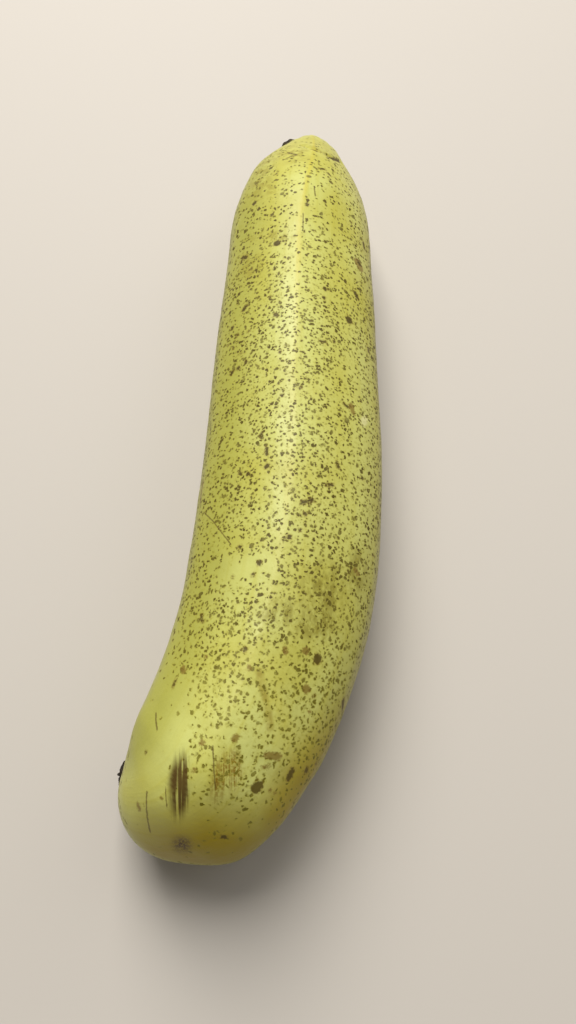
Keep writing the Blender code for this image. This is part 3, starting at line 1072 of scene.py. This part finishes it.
def endBitsPiece(name, tree, rim, outward, paint):
    look = endBits[name]
    middle = toPart(rim.mean(axis=0) - outward * look["sunk"]) * mm
    heading = Vector(turnToChord(outward))
    lengths = ("Inner Radius", "Outer Radius", "Length", "Width")
    values = {key: look[key] * (mm if key in lengths else 1) for key in look if key != "sunk"}
    values["Lean"] = math.radians(look["Lean"])
    values["Place"] = tuple(middle)
    values["Turn"] = tuple(heading.to_track_quat("Z", "Y").to_euler())
    values["Material"] = paint
    piece = bpy.data.objects.new(name, bpy.data.meshes.new(name))
    bpy.context.scene.collection.objects.link(piece)
    growth = piece.modifiers.new(name, "NODES")
    growth.node_group = tree
    for item in tree.interface.items_tree:
        if item.in_out == "INPUT":
            growth[item.identifier] = values[item.name]
    bpy.context.view_layer.update()
    made = bpy.data.meshes.new_from_object(piece.evaluated_get(bpy.context.evaluated_depsgraph_get()))
    piece.modifiers.remove(growth)
    piece.data = made
    finishPiece(piece)


def finishPiece(piece):
    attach(piece, "root")
    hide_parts("banana")


skinData.materials.append(skinPaint)
skin = bpy.data.objects.new("bananaSkin", skinData)
bpy.context.scene.collection.objects.link(skin)
finishPiece(skin)

print("growing the dried bits")
bitsTree = endBitsTree()
fibrePaint = fibreMaterial()
endBitsPiece("tipFlakes", bitsTree, grid[0], tipAhead[0], fibrePaint)
endBitsPiece("stemFibres", bitsTree, grid[-1], -cutAhead[0], fibrePaint)

# floor, light and camera
stageLook = {
    "floorSize": 3.0,
    "floor": (0.52, 0.47, 0.41, 1),
    "floorRoughness": 0.7,
    "world": (0.93, 0.93, 0.92, 1),
    "worldStrength": 0.23,
    "lights": [  # name, place, length and width, power, colour
        ("keyLight", (-0.20, 0.60, 0.95), (0.62, 0.95), 18.2, (1.0, 1.0, 0.98)),
        ("fillLight", (0.7, 0.5, 0.9), (0.8, 0.8), 2.5, (0.95, 0.97, 1.0)),
    ],
    "lightsAimAt": (0, 0, 0.02),
    "sensor": 36.0,
    "nearest": 0.005,
}


def floorAndLight():
    half = stageLook["floorSize"] / 2
    data = bpy.data.meshes.new("floor")
    corners = [(-half, -half, 0), (half, -half, 0), (half, half, 0), (-half, half, 0)]
    data.from_pydata(corners, [], [(0, 1, 2, 3)])
    material, _, shader = newMaterial("paleFloor")
    shader.inputs["Base Color"].default_value = stageLook["floor"]
    shader.inputs["Roughness"].default_value = stageLook["floorRoughness"]
    data.materials.append(material)
    floor = bpy.data.objects.new("floor", data)
    bpy.context.scene.collection.objects.link(floor)

    world = bpy.data.worlds.new("softRoom")
    world.use_nodes = True
    background = world.node_tree.nodes["Background"]
    background.inputs["Color"].default_value = stageLook["world"]
    background.inputs["Strength"].default_value = stageLook["worldStrength"]
    bpy.context.scene.world = world

    for name, place, size, power, colour in stageLook["lights"]:
        lamp = bpy.data.lights.new(name, "AREA")
        lamp.shape = "RECTANGLE"
        lamp.size, lamp.size_y = size
        lamp.energy = power
        lamp.color = colour
        light = bpy.data.objects.new(name, lamp)
        light.location = place
        aim = Vector(stageLook["lightsAimAt"]) - Vector(place)
        light.rotation_euler = aim.to_track_quat("-Z", "Y").to_euler()
        bpy.context.scene.collection.objects.link(light)


def camera():
    data = bpy.data.cameras.new("photoCamera")
    data.sensor_fit = "AUTO"
    data.sensor_width = stageLook["sensor"]
    data.lens = photoView["focalPixels"] / photoView["high"] * stageLook["sensor"]
    data.clip_start = stageLook["nearest"]
    lens = bpy.data.objects.new("photoCamera", data)
    lens.location = cameraPlace * mm
    lens.rotation_euler = (tilt, 0.0, roll)
    bpy.context.scene.collection.objects.link(lens)
    bpy.context.scene.camera = lens


print("setting the floor, the light and the camera")
floorAndLight()
camera()
bpy.context.scene.view_settings.view_transform = "Standard"
